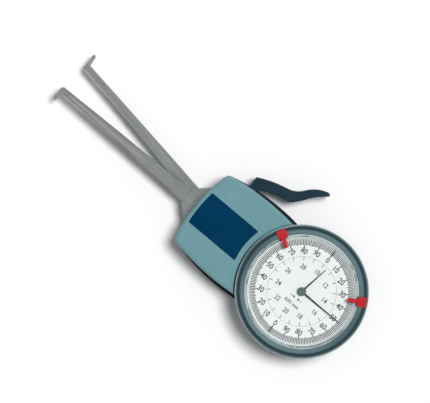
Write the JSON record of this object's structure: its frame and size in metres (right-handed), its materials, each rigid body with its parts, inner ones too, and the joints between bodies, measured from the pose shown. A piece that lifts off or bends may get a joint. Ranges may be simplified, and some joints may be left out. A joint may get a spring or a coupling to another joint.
{
  "type": "internal caliper gauge",
  "caption": "Hand-held dial gauge for bores and inner grooves with hooked measuring arms, thumb lever, rotating bezel and sliding tolerance markers.",
  "frame": {"origin": "where the dial's axis meets the flat back, in the plane of the back", "axes": "+Z out of the back towards the dial, the measuring arms point to -X, the release lever lies on +Y"},
  "size_m": [0.1917, 0.0802, 0.024],
  "materials": {
    "shell_plastic": "matte",
    "housing_blue": "satin",
    "plate_navy": "satin",
    "arm_steel": "brushed",
    "contact_metal": "polished",
    "screw_steel": "turned",
    "movement_brass": "turned",
    "bush_bronze": "turned",
    "spring_steel": "polished",
    "lever_plastic": "satin",
    "bezel_dark": "satin",
    "crystal_clear": "clear",
    "gasket_rubber": "matte",
    "dial_white": "matte",
    "ring_bright": "satin",
    "pointer_black": "satin",
    "marker_red": "gloss"
  },
  "bodies": {
    "housing": {"back_shell": "shell_plastic", "front_housing": "housing_blue", "name_plate": "plate_navy", "case_screw_1": "screw_steel", "case_screw_2": "screw_steel", "case_screw_3": "screw_steel", "case_screw_4": "screw_steel", "fixed_arm": "arm_steel", "fixed_contact": "contact_metal", "open_stop_pin": "screw_steel", "frame_screw_1": "screw_steel", "frame_screw_2": "screw_steel", "frame_screw_3": "screw_steel", "arm_pivot_pin": "screw_steel", "pivot_nut": "screw_steel", "spring_post": "screw_steel", "arm_spring": "spring_steel", "lower_bridge": "movement_brass", "upper_bridge": "movement_brass", "bridge_pillar_1": "movement_brass", "bridge_pillar_2": "movement_brass", "bridge_pillar_3": "movement_brass", "hairspring": "spring_steel", "hairspring_stud": "movement_brass", "centre_bush": "bush_bronze", "lever_pin": "screw_steel", "snap_ring": "spring_steel"},
    "arm": {"moving_arm": "arm_steel", "moving_contact": "contact_metal", "arm_bush": "bush_bronze", "push_pin": "screw_steel", "gear_sector": "movement_brass", "sector_screw_1": "screw_steel", "sector_screw_2": "screw_steel"},
    "idler": {"idler_arbor": "screw_steel", "reduction_wheel": "movement_brass", "transfer_wheel": "movement_brass", "hairspring_collet": "movement_brass"},
    "centre": {"centre_arbor": "screw_steel", "long_pointer": "pointer_black", "pointer_cap": "pointer_black"},
    "tube": {"pointer_tube": "screw_steel", "tube_wheel": "movement_brass", "short_pointer": "pointer_black"},
    "lever": {"release_lever": "lever_plastic", "lever_bush": "bush_bronze"},
    "bezel": {"bezel_ring": "bezel_dark", "crystal": "crystal_clear", "crystal_gasket": "gasket_rubber", "dial_plate": "dial_white", "dial_ring": "ring_bright"},
    "marker_left": {"tolerance_marker_left": "marker_red"},
    "marker_right": {"tolerance_marker_right": "marker_red"}
  },
  "joints": [
    {"name": "arm_swing", "type": "hinge", "parent": "housing", "child": "arm", "pos_m": [-0.04885, 0, 0.0071], "axis": [0, 0, 1], "range_deg": [0, 10.9], "stiffness_Nm_per_rad": 0.22, "springref_deg": -34.38, "deforming": ["arm_spring", "hairspring"]},
    {"name": "idler_turn", "type": "hinge", "parent": "housing", "child": "idler", "pos_m": [-0.01375, 0, 0.0095], "axis": [0, 0, 1], "range_deg": [-372, 0]},
    {"name": "long_pointer_turn", "type": "hinge", "parent": "housing", "child": "centre", "pos_m": [0, 0, 0.015], "axis": [0, 0, 1], "range_deg": [0, 3718]},
    {"name": "short_pointer_turn", "type": "hinge", "parent": "housing", "child": "tube", "pos_m": [0, 0, 0.015], "axis": [0, 0, 1], "range_deg": [0, 372]},
    {"name": "lever_press", "type": "hinge", "parent": "housing", "child": "lever", "pos_m": [-0.051, 0.0212, 0.0085], "axis": [0, 0, 1], "range_deg": [-12.95, 0]},
    {"name": "bezel_turn", "type": "hinge", "parent": "housing", "child": "bezel", "pos_m": [0, 0, 0.019], "axis": [0, 0, 1], "continuous": true},
    {"name": "marker_left_slide", "type": "hinge", "parent": "bezel", "child": "marker_left", "pos_m": [0, 0, 0.022], "axis": [0, 0, 1], "range_deg": [-50, 110]},
    {"name": "marker_right_slide", "type": "hinge", "parent": "bezel", "child": "marker_right", "pos_m": [0, 0, 0.022], "axis": [0, 0, 1], "range_deg": [-110, 50]}
  ],
  "couplings": [
    {"joint": "idler_turn", "follows": "arm_swing", "ratio": -34.1},
    {"joint": "long_pointer_turn", "follows": "arm_swing", "ratio": 341},
    {"joint": "short_pointer_turn", "follows": "arm_swing", "ratio": 34.1},
    {"joint": "lever_press", "follows": "arm_swing", "ratio": -1.1856}
  ]
}
